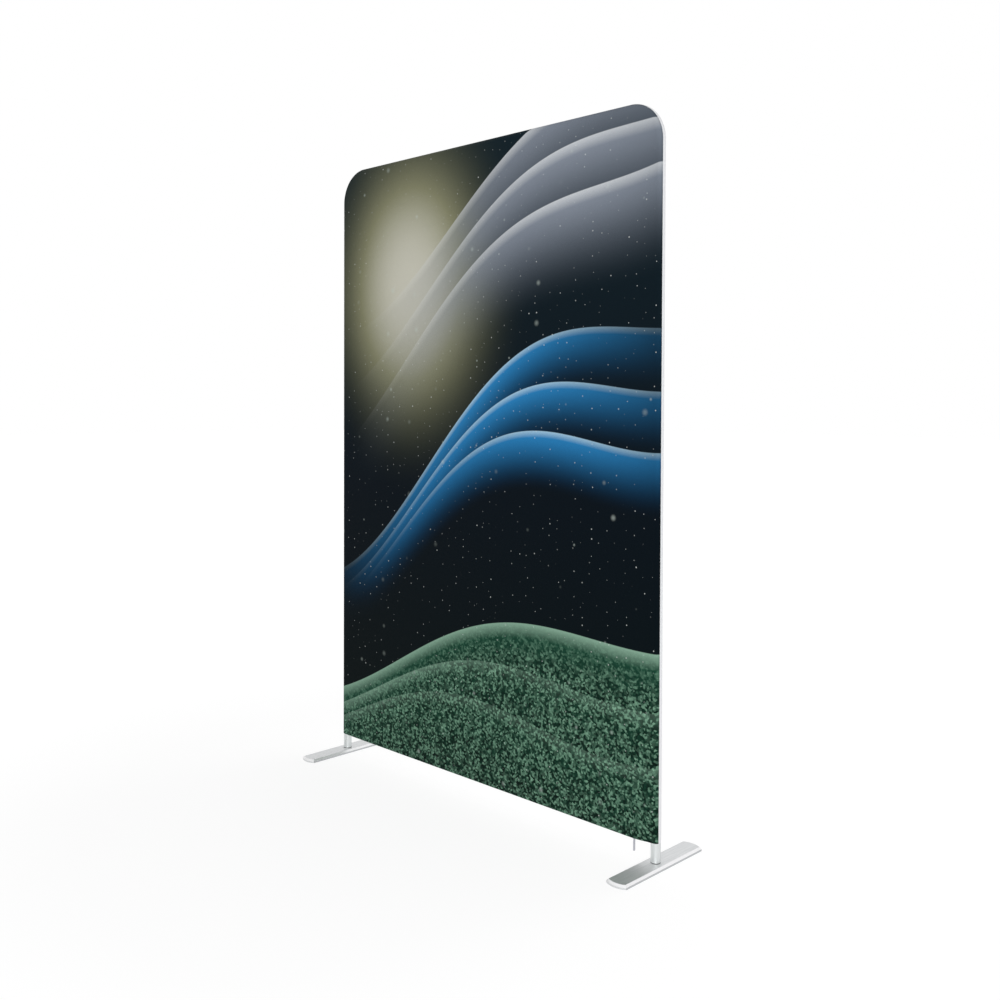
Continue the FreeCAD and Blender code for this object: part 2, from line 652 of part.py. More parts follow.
def build():
    made = {}
    for name, side in SIDES.items():
        made[name + "_lower_pole"] = lower_pole(name, side)
        made[name + "_upper_pole"] = upper_pole(name, side)
        made[name + "_corner_tube"] = corner_tube(name, side)
        made[name + "_bottom_bar"] = bottom_bar(name, side)
        made[name + "_bar_stub"] = bar_stub(name, side)
        made[name + "_pole_bush"] = pole_bush(side)
        made[name + "_foot_plate"] = foot_plate(side)
        made[name + "_foot_post"] = foot_post(side)
        made[name + "_foot_screw"] = foot_screw(side)
        made[name + "_foot_pads"] = foot_pads(side)
    made["top_rail"] = top_rail()
    riveted = [joint for joint in JOINTS if joint not in ("left_bar", "right_bar")]
    for joint in riveted:
        made[joint + "_spigot"] = spigot(joint)
    for joint in JOINTS:
        made[joint + "_button"] = snap_button(joint)
        made[joint + "_button_spring"] = button_spring(joint)
    made["spigot_rivets"] = Part.makeCompound([rivet(joint) for joint in riveted])
    made["bar_stub_screws"] = Part.makeCompound([stub_screw(side) for side in SIDES.values()])
    made["bar_stub_washers"] = Part.makeCompound([stub_washer(side) for side in SIDES.values()])
    made["front_panel"] = cover_panel(FRONT, 0, SEAM_ANGLE)
    made["back_panel"] = cover_panel(BACK, SEAM_ANGLE, 180)
    made["zip_front_tape"] = zip_tape(FRONT)
    made["zip_back_tape"] = zip_tape(BACK)
    made["zip_coils"] = zip_coils()
    made["zip_stops"] = zip_stops()
    made["zip_slider"] = zip_slider()
    made["zip_pull"] = zip_pull()
    return made


os.makedirs("parts", exist_ok=True)
for node, shape in build().items():
    volume = sum(solid.Volume for solid in shape.Solids)
    state = "" if shape.isValid() else "  NOT VALID"
    print(f"{node}: {len(shape.Solids)} solid, {volume / 1000:.2f} cm3{state}")
    shape.exportStep(f"parts/{node}.step")
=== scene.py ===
import json
import math

import bpy
from mathutils import Matrix, Vector


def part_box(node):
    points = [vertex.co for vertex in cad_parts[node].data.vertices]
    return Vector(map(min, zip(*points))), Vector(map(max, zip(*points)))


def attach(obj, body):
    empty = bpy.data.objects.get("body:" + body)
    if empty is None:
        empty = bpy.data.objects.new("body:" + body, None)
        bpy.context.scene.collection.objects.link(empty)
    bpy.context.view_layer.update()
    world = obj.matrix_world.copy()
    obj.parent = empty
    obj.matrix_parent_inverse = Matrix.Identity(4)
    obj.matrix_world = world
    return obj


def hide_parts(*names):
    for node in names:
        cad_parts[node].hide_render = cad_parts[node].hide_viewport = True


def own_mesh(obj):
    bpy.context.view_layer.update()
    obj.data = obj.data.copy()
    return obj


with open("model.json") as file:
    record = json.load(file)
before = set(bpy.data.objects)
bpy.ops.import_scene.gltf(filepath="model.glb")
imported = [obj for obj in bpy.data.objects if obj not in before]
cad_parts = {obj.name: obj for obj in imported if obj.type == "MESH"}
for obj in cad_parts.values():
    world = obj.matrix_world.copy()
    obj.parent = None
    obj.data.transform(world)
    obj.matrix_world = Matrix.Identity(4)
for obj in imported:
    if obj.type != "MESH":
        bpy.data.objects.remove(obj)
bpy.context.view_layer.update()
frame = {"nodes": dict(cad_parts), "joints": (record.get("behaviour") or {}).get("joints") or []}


# Frame tubes
# Poles, bent corners, top rail and bottom bar are cut from one size of drawn aluminium tube, satin
# anodised in silver. They slip together, and the cover hides all of them but the pole ends.
MM = 0.001
SIDES = ("left", "right")
# Real die and tool marks are under 0.1 mm wide, and are drawn coarser so that they show.
DIE_LINE = 0.8 * MM
LINE_STRETCH = 50
LINE_DEPTH = 0.05 * MM
CLOUDING = 60 * MM


def linear(hex_colour):
    """An sRGB hex colour as linear red, green, blue and alpha."""
    shares = [int(hex_colour[i:i + 2], 16) / 255 for i in (1, 3, 5)]
    return [c / 12.92 if c <= 0.04045 else ((c + 0.055) / 1.055) ** 2.4 for c in shares] + [1.0]


def put(material, kind, inputs=None, stops=(), **settings):
    """Adds one node with its settings, its inputs as values or linked sockets, and a ramp's stops."""
    made = material.node_tree.nodes.new("ShaderNode" + kind)
    for name, value in settings.items():
        setattr(made, name, value)
    for name, value in (inputs or {}).items():
        if isinstance(value, bpy.types.NodeSocket):
            material.node_tree.links.new(value, made.inputs[name])
        else:
            made.inputs[name].default_value = value
    if stops:
        marks = made.color_ramp.elements
        for mark, (position, colour) in ((marks[0], stops[0]), (marks[1], stops[-1])):
            mark.position = position
            mark.color = linear(colour)
        for position, colour in stops[1:-1]:
            marks.new(position).color = linear(colour)
    return made


def blank(name):
    """A new material without nodes."""
    material = bpy.data.materials.new(name)
    material.use_nodes = True
    material.node_tree.nodes.clear()
    return material


def dress(material, *nodes):
    """Gives CAD nodes a material."""
    for name in nodes:
        mesh = frame["nodes"][name].data
        mesh.materials.clear()
        mesh.materials.append(material)


def drawn_metal(name, colour, dark, roughness, line, along):
    """Metal with fine lines along one axis, left by a die, a brush or a lathe tool.

    The lines and a slow clouding vary the colour and the gloss a little, and the lines stretch
    highlights across themselves.
    """
    material = blank(name)
    place = put(material, "TexCoord").outputs["Object"]
    scale = [1 / (line * LINE_STRETCH) if axis == along else 1 / line for axis in "XYZ"]
    stretched = put(material, "Mapping", {"Vector": place, "Scale": scale}).outputs["Vector"]
    lines = put(material, "TexNoise", {
        "Vector": stretched, "Scale": 1.0, "Detail": 3.0}).outputs["Fac"]
    clouds = put(material, "TexNoise", {
        "Vector": place, "Scale": 1 / CLOUDING, "Detail": 4.0}).outputs["Fac"]
    both = put(material, "Mix", {"Factor": 0.35, "A": lines, "B": clouds}).outputs["Result"]
    tint = put(material, "ValToRGB", {"Fac": both}, stops=((0.3, dark), (0.7, colour)))
    gloss = put(material, "MapRange", {
        "Value": both, "From Min": 0.3, "From Max": 0.7,
        "To Min": roughness * 1.25, "To Max": roughness * 0.8})
    bump = put(material, "Bump", {"Strength": 0.12, "Distance": LINE_DEPTH, "Height": lines})
    shader = put(material, "BsdfPrincipled", {
        "Base Color": tint.outputs["Color"], "Metallic": 1.0, "Roughness": gloss.outputs["Result"],
        "Normal": bump.outputs["Normal"]})
    put(material, "OutputMaterial", {"Surface": shader.outputs["BSDF"]})
    return material


# Anodised tube is a pale, cool silver with soft, wide highlights.
upright_tube = drawn_metal("anodised_aluminium_upright", "#dfe2e2", "#d3d7d7", 0.5, DIE_LINE, "Z")
level_tube = drawn_metal("anodised_aluminium_level", "#dfe2e2", "#d3d7d7", 0.5, DIE_LINE, "X")
for side in SIDES:
    dress(upright_tube, side + "_lower_pole", side + "_upper_pole", side + "_corner_tube")
    dress(level_tube, side + "_bottom_bar")
dress(level_tube, "top_rail")


# Spigots, bar stubs and their fixings
# Each slip joint has an inner sleeve of mill-finish aluminium, riveted into one tube. Machined
# stubs carry the bottom bar, each held by a zinc-plated screw through a curved washer.
SLEEVED = [f"{side}_{place}" for side in SIDES for place in ("pole", "corner", "rail")] + ["bar_centre"]
# Mill finish is darker than anodised, a set rivet is brighter, and zinc has a faint green cast.
mill_aluminium = drawn_metal("mill_aluminium", "#c3c6c8", "#aab0b3", 0.5, 1.0 * MM, "Z")
rivet_aluminium = drawn_metal("set_rivet_aluminium", "#c8c9ca", "#adb0b2", 0.38, 0.5 * MM, "Z")
zinc_plate = drawn_metal("zinc_plated_steel", "#c9ccc4", "#a9ada6", 0.34, 0.4 * MM, "Z")
dress(mill_aluminium, *[joint + "_spigot" for joint in SLEEVED])
dress(mill_aluminium, "left_bar_stub", "right_bar_stub")
dress(rivet_aluminium, "spigot_rivets")
dress(zinc_plate, "bar_stub_screws", "bar_stub_washers")


# Snap buttons and their springs
# A nickel-plated steel button locks each slip joint. A strip of blued spring steel, folded into a
# V inside the sleeve, pushes it out and on the real button closes up as it is pressed. Here the strip is one
# rigid shape, drawn open.
SPRING_STRIP = 0.6 * MM
SPRING_PAD = 5.5 * MM
SPRING_TIP = 22 * MM
SPRING_FOLD = 2 * MM
SPRING_FOLD_STEPS = 8
SPRING_EASE = 0.05 * MM
SHARP_EDGE = math.radians(50)


def rounded(corners, radius):
    """A path through corner points, with each corner turned in an arc."""
    path = [corners[0]]
    for before, corner, after in zip(corners, corners[1:], corners[2:]):
        back = (before - corner).normalized()
        on = (after - corner).normalized()
        half_turn = (math.pi - back.angle(on)) / 2
        centre = corner + (back + on).normalized() * (radius / math.cos(half_turn))
        start = corner + back * (radius * math.tan(half_turn)) - centre
        end = corner + on * (radius * math.tan(half_turn)) - centre
        for step in range(SPRING_FOLD_STEPS + 1):
            path.append(centre + start.lerp(end, step / SPRING_FOLD_STEPS).normalized() * radius)
    return path + [corners[-1]]


def mesh_piece(name, points, faces, materials):
    """A piece of the scene made from points and faces, smooth up to its sharp edges."""
    mesh = bpy.data.meshes.new(name)
    mesh.from_pydata(points, [], faces)
    for material in materials:
        mesh.materials.append(material)
    mesh.shade_smooth()
    mesh.set_sharp_from_angle(angle=SHARP_EDGE)
    piece = bpy.data.objects.new(name, mesh)
    bpy.context.scene.collection.objects.link(piece)
    return piece


def strip(name, path, thickness, width, material):
    """A flat band along a path, with its width along Y and closed ends."""
    points = []
    faces = []
    for k, here in enumerate(path):
        along = (path[min(k + 1, len(path) - 1)] - path[max(k - 1, 0)]).normalized()
        up = along.cross(Vector((0, 1, 0)))
        for rise, side in ((-0.5, -0.5), (-0.5, 0.5), (0.5, 0.5), (0.5, -0.5)):
            points.append(here + up * (rise * thickness) + Vector((0, side * width, 0)))
    for start in range(0, len(points) - 4, 4):
        for a, b in ((0, 1), (1, 2), (2, 3), (3, 0)):
            faces.append((start + a, start + b, start + b + 4, start + a + 4))
    faces.append((3, 2, 1, 0))
    faces.append([len(points) - 4 + corner for corner in range(4)])
    return mesh_piece(name, points, faces, [material])


# Nickel is bright and slightly warm, and blued steel is dark with a blue cast.
nickel_plate = drawn_metal("nickel_plated_steel", "#d6d2c8", "#bdb8ac", 0.22, 0.3 * MM, "Z")
blued_steel = drawn_metal("blued_spring_steel", "#5b616d", "#3d4350", 0.36, 0.5 * MM, "Y")
joints_by_name = {joint["name"]: joint for joint in frame["joints"]}
for joint in SLEEVED + ["left_bar", "right_bar"]:
    dress(nickel_plate, joint + "_button")
    press = joints_by_name[joint + "_button_press"]
    # The seat is a point on the button's axis, and heights are counted from it along the way out.
    out = -Vector(press["axis"])
    seat = sum(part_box(joint + "_button"), Vector()) / 2
    seat -= out * seat.dot(out)
    low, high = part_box(joint + "_button_spring")
    foot, head = sorted((low.dot(out), high.dot(out)))
    # The strip lies along the tube, with the tip of its V on the same side as the CAD spring's.
    along = Vector((0, 0, 1)) if abs(out.x) > 0.5 else Vector((1, 0, 0))
    if along.dot((low + high) / 2 - seat) > 0:
        along.negate()
    upper = head - SPRING_STRIP / 2 - SPRING_EASE
    lower = foot + SPRING_STRIP / 2
    legs = [(SPRING_PAD, upper), (-SPRING_PAD, upper), (-SPRING_TIP, (upper + lower) / 2),
            (-SPRING_PAD, lower), (SPRING_PAD, lower)]
    path = rounded([seat + along * run + out * height for run, height in legs], SPRING_FOLD)
    spring = strip(joint + "_folded_spring", path, SPRING_STRIP, high.y - low.y, blued_steel)
    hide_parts(joint + "_button_spring")
    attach(spring, "frame")
    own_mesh(spring)


# Feet
# Each foot is a flat steel bar with bowed ends and a bevelled top edge, brushed along its length
# and sprayed with silver lacquer. A turned post is screwed on, and rubber pads are glued below.
# Real brush marks and moulding grain are finer, and are drawn coarser so that they show.
BRUSH_LINE = 0.9 * MM
BRUSH_LENGTH = 75 * MM
BRUSH_DEPTH = 0.06 * MM
HANDLING = 45 * MM
GRAIN_DEPTH = 0.05 * MM
SCUFF = 12 * MM
# The upward share of a bevel's normal.
BEVEL_RISE = math.cos(math.radians(45))


def silver_lacquer():
    """Aluminium-flake lacquer on brushed steel: soft reflections, faint long streaks, a painted highlight on
    the bevels and painted shade on the long sides.
    """
    material = blank("silver_lacquered_steel")
    place = put(material, "TexCoord").outputs["Object"]
    stretched = put(material, "Mapping", {
        "Vector": place, "Scale": (1 / BRUSH_LINE, 1 / BRUSH_LENGTH, 1 / BRUSH_LINE)}).outputs["Vector"]
    streaks = put(material, "TexNoise", {
        "Vector": stretched, "Scale": 1.0, "Detail": 4.0}).outputs["Fac"]
    handling = put(material, "TexNoise", {
        "Vector": place, "Scale": 1 / HANDLING, "Detail": 5.0}).outputs["Fac"]
    tint = put(material, "ValToRGB", {"Fac": streaks}, stops=((0.25, "#cccecf"), (0.75, "#e6e7e8")))
    # A face is told by the way it faces on the foot itself, which doesn't change as that swivels.
    # The bevels are cut cleaner than the flat, so they are glossier with less flake, and a painted highlight
    # makes their colour whiter.
    normal = put(material, "VectorTransform", {
        "Vector": put(material, "NewGeometry").outputs["True Normal"]},
        vector_type="NORMAL", convert_from="WORLD", convert_to="OBJECT").outputs["Vector"]
    facing = put(material, "SeparateXYZ", {"Vector": normal})
    slope = put(material, "Math", {0: facing.outputs["Z"], 1: BEVEL_RISE}, operation="SUBTRACT")
    off = put(material, "Math", {0: slope.outputs["Value"]}, operation="ABSOLUTE").outputs["Value"]
    bevel = put(material, "MapRange", {
        "Value": off, "From Min": 0.1, "From Max": 0.2, "To Min": 0.9, "To Max": 0.0}).outputs["Result"]
    # The long cut sides have painted shade, a little darker than the rest.
    across = put(material, "Math", {0: facing.outputs["X"]}, operation="ABSOLUTE").outputs["Value"]
    cut = put(material, "MapRange", {
        "Value": across, "From Min": 0.85, "From Max": 0.95}).outputs["Result"]
    side_painted_shade = put(material, "Mix", {
        "Factor": cut, "A": tint.outputs["Color"], "B": linear("#bfc1c3")}, data_type="RGBA")
    # Painted highlight: the bevels are coloured near white.
    bevel_painted_highlight = put(material, "Mix", {
        "Factor": bevel, "A": side_painted_shade.outputs["Result"], "B": linear("#f9f9fa")}, data_type="RGBA")
    dull = put(material, "MapRange", {
        "Value": handling, "To Min": 0.42, "To Max": 0.55}).outputs["Result"]
    gloss = put(material, "Mix", {"Factor": bevel, "A": dull, "B": 0.3}).outputs["Result"]
    flake = put(material, "Mix", {"Factor": bevel, "A": 0.78, "B": 0.3}).outputs["Result"]
    bump = put(material, "Bump", {"Strength": 0.10, "Distance": BRUSH_DEPTH, "Height": streaks})
    shader = put(material, "BsdfPrincipled", {
        "Base Color": bevel_painted_highlight.outputs["Result"], "Metallic": flake, "Roughness": gloss,
        "Normal": bump.outputs["Normal"]})
    put(material, "OutputMaterial", {"Surface": shader.outputs["BSDF"]})
    return material


def moulded(name, colour, worn, roughness, grain):
    """Moulded plastic or rubber: a fine grain in the surface and slightly scuffed colour."""
    material = blank(name)
    place = put(material, "TexCoord").outputs["Object"]
    grains = put(material, "TexNoise", {
        "Vector": place, "Scale": 1 / grain, "Detail": 2.0}).outputs["Fac"]
    scuffs = put(material, "TexNoise", {
        "Vector": place, "Scale": 1 / SCUFF, "Detail": 5.0}).outputs["Fac"]
    tint = put(material, "ValToRGB", {"Fac": scuffs}, stops=((0.4, colour), (0.8, worn)))
    bump = put(material, "Bump", {"Strength": 0.2, "Distance": GRAIN_DEPTH, "Height": grains})
    shader = put(material, "BsdfPrincipled", {
        "Base Color": tint.outputs["Color"], "Roughness": roughness, "Normal": bump.outputs["Normal"]})
    put(material, "OutputMaterial", {"Surface": shader.outputs["BSDF"]})
    return material


# Turned steel is greyer, with fine tool marks. The bush's nylon and the pads' rubber are near black.
foot_steel = silver_lacquer()
turned_steel = drawn_metal("turned_steel", "#b4b6b8", "#989b9e", 0.36, 0.25 * MM, "X")
nylon = moulded("black_nylon", "#0f1011", "#1b1c1d", 0.6, 0.4 * MM)
rubber = moulded("black_rubber", "#161616", "#262626", 0.85, 0.8 * MM)
for side in SIDES:
    dress(foot_steel, side + "_foot_plate")
    dress(turned_steel, side + "_foot_post")
    dress(zinc_plate, side + "_foot_screw")
    dress(nylon, side + "_pole_bush")
    dress(rubber, side + "_foot_pads")


# Printed front of the cover
# One panel of knitted stretch polyester, dye-printed, pulled flat over the frame. It wraps the
# tubes as far as the side seam, turns under the bottom bar to the zip, and is notched at the poles.
CLOTH = 0.45 * MM
SEAM_TURN = math.radians(68)
SEAM_WIDTH = math.radians(6)
SEAM_DEPTH = 0.3 * MM
BEND_RADIUS = 105 * MM
FOLD_RADIUS = 3 * MM
POLE_HOLE_GAP = 0.6 * MM
HALF_MEETING_GAP = 0.1 * MM
ZIP_LAP = 2.5 * MM
PUCKER_HEIGHT = 0.5 * MM
PUCKER_PITCH = 15 * MM
# Tension lifts the hem at the poles, most at the right one.
HEM_LIFT = {-1: 0.5 * MM, 1: 5 * MM}
HEM_LIFT_REACH = 70 * MM
# Steps of the mesh up a side, round a bend, along half the rail, round a tube and round the fold.
UPRIGHT_STEPS = 40
BEND_STEPS = 84
RAIL_STEPS = 14
WRAP_STEP = math.radians(6)
FOLD_STEPS = 8
# Distances in from the pole's centre line, close together round the pole's hole and the zip's end.
INSETS = [d * MM for d in (3, 6, 9.5, 12.5, 14.5, 15.5, 17.5, 25, 40, 62.5, 63.5, 90)]

pole_low, pole_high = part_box("right_lower_pole")
tube_r = (pole_high.x - pole_low.x) / 2
pole_x = (pole_high.x + pole_low.x) / 2
cover_low, cover_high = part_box("back_panel")
wrap_r = cover_high.x - pole_x
rail_z = cover_high.z - wrap_r
bend_x = pole_x - BEND_RADIUS
bend_z = rail_z - BEND_RADIUS
fold_z = cover_low.z + FOLD_RADIUS
tape_low, tape_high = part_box("zip_back_tape")
cloth_edge = tape_high.y - ZIP_LAP

upright_run = bend_z - fold_z
bend_run = BEND_RADIUS * math.pi / 2
half_run = upright_run + bend_run + bend_x


def outline_at(run):
    """The tube's centre, its way out and how far into a bend it is, up, over and down the frame."""
    side = -1 if run <= half_run else 1
    gone = min(run, 2 * half_run - run)
    if gone <= upright_run:
        return Vector((side * pole_x, 0, fold_z + gone)), Vector((side, 0, 0)), 0.0
    if gone <= upright_run + bend_run:
        turn = (gone - upright_run) / BEND_RADIUS
        out = Vector((side * math.cos(turn), 0, math.sin(turn)))
        return Vector((side * bend_x, 0, bend_z)) + out * BEND_RADIUS, out, math.sin(2 * turn)
    return Vector((side * (half_run - gone), 0, rail_z)), Vector((0, 0, 1)), 0.0


def outline_runs():
    """The distances along the outline at which the cover has a row of points."""
    half = [upright_run * step / UPRIGHT_STEPS for step in range(UPRIGHT_STEPS)]
    half += [upright_run + bend_run * step / BEND_STEPS for step in range(BEND_STEPS)]
    half += [half_run - bend_x * (1 - step / RAIL_STEPS) for step in range(RAIL_STEPS + 1)]
    return half + [2 * half_run - run for run in reversed(half[:-1])]


def seam_dip(turn, reach):
    """How far the seam draws the cloth in: 1 at the seam, and 0 a seam's width from it."""
    return max(0.0, 1 - (reach - turn) / SEAM_WIDTH)


def hem_lift(side, inset):
    """How far the hem is lifted at a distance in from the pole."""
    share = max(0.0, 1 - inset / HEM_LIFT_REACH)
    return HEM_LIFT[side] * share * share * (3 - 2 * share)


def turned_under(inset):
    """The (depth, drop) points of the cloth from the sheet, round the fold, to its cut edge."""
    hole = tube_r + POLE_HOLE_GAP
    if inset < hole:
        end = math.sqrt(hole**2 - inset**2)
    else:
        end = cloth_edge if pole_x - inset < tape_high.x else HALF_MEETING_GAP
    straight = wrap_r - FOLD_RADIUS
    fold = math.acos(min(1, max(0, (end - straight) / FOLD_RADIUS)))
    length = FOLD_RADIUS * fold + max(0, straight - end)
    points = []
    for step in range(1, FOLD_STEPS + 1):
        gone = length * step / FOLD_STEPS
        turn = min(gone / FOLD_RADIUS, fold)
        depth = straight + FOLD_RADIUS * math.cos(turn) - (gone - turn * FOLD_RADIUS)
        points.append((depth, FOLD_RADIUS * math.sin(turn)))
    return points


def cover_half(name, facing, reach, materials):
    """One half of the cover: its wrap on the tubes, its flat sheet and what turns underneath."""
    # A row of points runs from the seam, over its dip and round the tube, in to the flat sheet.
    steps = round(reach / WRAP_STEP)
    spread = [reach, reach - SEAM_WIDTH * 0.4, reach - SEAM_WIDTH]
    spread += [(reach - SEAM_WIDTH) * (1 - step / steps) for step in range(1, steps + 1)]
    columns = len(spread) + len(INSETS)
    runs = outline_runs()
    points = []
    faces = []
    for run in runs:
        centre, out, bend = outline_at(run)
        ripple = PUCKER_HEIGHT * bend * (0.5 + 0.5 * math.sin(2 * math.pi * run / PUCKER_PITCH))
        for turn in spread:
            dip = seam_dip(turn, reach)
            radius = wrap_r - SEAM_DEPTH * dip + ripple * (turn / reach) ** 2 * (1 - dip)
            points.append(centre + out * (radius * math.sin(turn))
                          + Vector((0, facing * radius * math.cos(turn), 0)))
        for inset in INSETS:
            points.append(centre - out * inset + Vector((0, facing * wrap_r, 0)))
    for row in range(len(runs) - 1):
        for column in range(columns - 1):
            a = row * columns + column
            faces.append((a, a + 1, a + columns + 1, a + columns))
    # The flat sheet is one face between the inner ends of the rows.
    faces.append([row * columns + columns - 1 for row in reversed(range(len(runs)))])
    # The hem runs in along the first row and out along the last, and what turns under hangs from it.
    last = (len(runs) - 1) * columns
    insets = [0.0] * len(spread) + INSETS
    hem = [(-1, column, column) for column in range(columns)]
    hem += [(1, column, last + column) for column in reversed(range(columns))]
    for side, column, point in hem:
        points[point].z += hem_lift(side, insets[column])
    rows = [[point for side, column, point in hem]]
    for step in range(FOLD_STEPS):
        row = []
        for side, column, point in hem:
            depth, drop = turned_under(insets[column])[step]
            if column < len(spread):
                turn = spread[column]
                depth -= SEAM_DEPTH * seam_dip(turn, reach)
                x = side * (pole_x + depth * math.sin(turn))
                y = facing * depth * math.cos(turn)
            else:
                x = points[point].x
                y = facing * depth
            row.append(len(points))
            points.append(Vector((x, y, points[point].z - drop)))
        rows.append(row)
    for upper, lower in zip(rows, rows[1:]):
        for k in range(len(upper) - 1):
            faces.append((upper[k], lower[k], lower[k + 1], upper[k + 1]))
    if facing > 0:
        faces = [list(reversed(face)) for face in faces]
    piece = mesh_piece(name, points, faces, materials)
    cloth = piece.modifiers.new("cloth_thickness", "SOLIDIFY")
    cloth.thickness = CLOTH
    cloth.offset = -1
    cloth.material_offset = 1
    return piece


# Real loops of the knit are about 0.5 mm, and are drawn coarser so that they show.
WALE = 1.4 * MM
COURSE = 1.1 * MM
LOOP_DEPTH = 0.12 * MM


def knit(material, place, colour, shade, strength):
    """Knitted loops, carried round the tubes: the colour with painted shade between them, and their bumps.
    """
    at = put(material, "SeparateXYZ", {"Vector": place})
    waves = []
    for way, pitch in (("X", WALE), ("Z", COURSE)):
        along = put(material, "Math", {0: at.outputs[way], 1: at.outputs["Y"]}, operation="ADD")
        turn = put(material, "Math", {
            0: along.outputs["Value"], 1: 2 * math.pi / pitch}, operation="MULTIPLY")
        wave = put(material, "Math", {0: turn.outputs["Value"]}, operation="SINE")
        waves.append(wave.outputs["Value"])
    loops = put(material, "Math", {0: waves[0], 1: waves[1]}, operation="MULTIPLY").outputs["Value"]
    # Painted shade darkens the colour between the loops.
    between = put(material, "MapRange", {
        "Value": loops, "From Min": 1.0, "From Max": -1.0, "To Max": strength}).outputs["Result"]
    shaded = put(material, "Mix", {"Factor": between, "A": colour, "B": linear(shade)}, data_type="RGBA")
    bump = put(material, "Bump", {"Strength": 0.35, "Distance": LOOP_DEPTH, "Height": loops})
    return shaded.outputs["Result"], bump.outputs["Normal"]


# The print's ribbons sway by this many radians in a metre, and have an edge this soft.
SWAY_RATE = 3.4
RIBBON_EDGE = 3 * MM


def depth_below(material, x, z, height, slant, sway, phase):
    """How far a place lies below a line that slants and sways across the panel."""
    turn = put(material, "Math", {0: x, 1: SWAY_RATE, 2: phase}, operation="MULTIPLY_ADD").outputs["Value"]
    swing = put(material, "Math", {0: turn}, operation="SINE").outputs["Value"]
    slope = put(material, "Math", {0: x, 1: slant, 2: height}, operation="MULTIPLY_ADD").outputs["Value"]
    line = put(material, "Math", {0: swing, 1: sway, 2: slope}, operation="MULTIPLY_ADD").outputs["Value"]
    return put(material, "Math", {0: line, 1: z}, operation="SUBTRACT").outputs["Value"]


def ribbon(material, x, below, under, depth, colours, strength, middle, reach):
    """A printed ribbon of light: a crisp upper edge on a swaying line, fading below it and sideways."""
    edge = put(material, "MapRange", {
        "Value": below, "From Max": RIBBON_EDGE}, interpolation_type="SMOOTHSTEP")
    fade = put(material, "MapRange", {
        "Value": below, "From Max": depth, "To Min": strength, "To Max": 0.0},
        interpolation_type="SMOOTHSTEP")
    aside = put(material, "Math", {0: x, 1: middle}, operation="SUBTRACT").outputs["Value"]
    off = put(material, "Math", {0: aside}, operation="ABSOLUTE").outputs["Value"]
    ends = put(material, "MapRange", {
        "Value": off, "From Max": reach, "To Min": 1.0, "To Max": 0.0}, interpolation_type="SMOOTHSTEP")
    sheer = put(material, "Math", {
        0: edge.outputs["Result"], 1: fade.outputs["Result"]}, operation="MULTIPLY").outputs["Value"]
    cover = put(material, "Math", {
        0: sheer, 1: ends.outputs["Result"]}, operation="MULTIPLY").outputs["Value"]
    down = put(material, "MapRange", {"Value": below, "From Max": depth}).outputs["Result"]
    tint = put(material, "ValToRGB", {"Fac": down}, stops=tuple(zip((0.0, 0.12, 1.0), colours)))
    return put(material, "Mix", {
        "Factor": cover, "A": under, "B": tint.outputs["Color"]}, data_type="RGBA").outputs["Result"]


def specks(material, flat_place, under, cell, size, share, colour, strength):
    """Printed points of light in a share of the cells, as large as a part of the cell, and mixed."""
    cells = put(material, "TexVoronoi", {"Vector": flat_place, "Scale": 1 / cell}, voronoi_dimensions="2D")
    chance = put(material, "SeparateColor", {"Color": cells.outputs["Color"]})
    chosen = put(material, "MapRange", {
        "Value": chance.outputs["Red"], "From Min": 1 - share, "From Max": 1.0, "To Max": strength})
    width = put(material, "MapRange", {
        "Value": chance.outputs["Green"], "To Min": size * 0.3, "To Max": size})
    spot = put(material, "MapRange", {
        "Value": cells.outputs["Distance"], "From Min": width.outputs["Result"], "From Max": 0.0},
        interpolation_type="SMOOTHSTEP")
    light = put(material, "Math", {
        0: spot.outputs["Result"], 1: chosen.outputs["Result"]}, operation="MULTIPLY").outputs["Value"]
    return put(material, "Mix", {
        "Factor": light, "A": under, "B": linear(colour)}, data_type="RGBA").outputs["Result"]


def chips(material, flat_place, under, cell, colours, strength, where):
    """A printed mosaic of small chips, each with a shade of its own."""
    cells = put(material, "TexVoronoi", {"Vector": flat_place, "Scale": 1 / cell}, voronoi_dimensions="2D")
    chance = put(material, "SeparateColor", {"Color": cells.outputs["Color"]})
    shade = put(material, "ValToRGB", {
        "Fac": chance.outputs["Red"]}, stops=tuple(zip((0.15, 0.55, 1.0), colours)))
    laid = put(material, "Math", {0: where, 1: strength}, operation="MULTIPLY").outputs["Value"]
    return put(material, "Mix", {
        "Factor": laid, "A": under, "B": shade.outputs["Color"]}, data_type="RGBA").outputs["Result"]


# Colours of the print, from a ribbon's edge down, or from the darkest chip up.
SILVER = ("#eef2f6", "#9aa3b1", "#3c4753")
BLUE = ("#b9e0f7", "#2f8fd0", "#0a355f")
LEAF = ("#9cc4ac", "#245843", "#051d18")
MOSS = ("#010b08", "#123a2b", "#8fbfa2")
RIBBONS = 3
HAZE_CENTRE = (-0.36, 1.80, 0)
HAZE_SQUEEZE = (1.0, 0.8, 1)
HAZE_REACH = 0.64
MOSAIC_FADE = 0.16
LARGE_CHIP = 11 * MM
SMALL_CHIP = 6.5 * MM
SMALL_SPECK_CELL = 34 * MM
LARGE_SPECK_CELL = 150 * MM
# Round the tube the print takes painted shade, a little darker towards the seam, from one Y to the other.
SEAM_SHADE_START = -12 * MM
SEAM_SHADE_FULL = -9 * MM


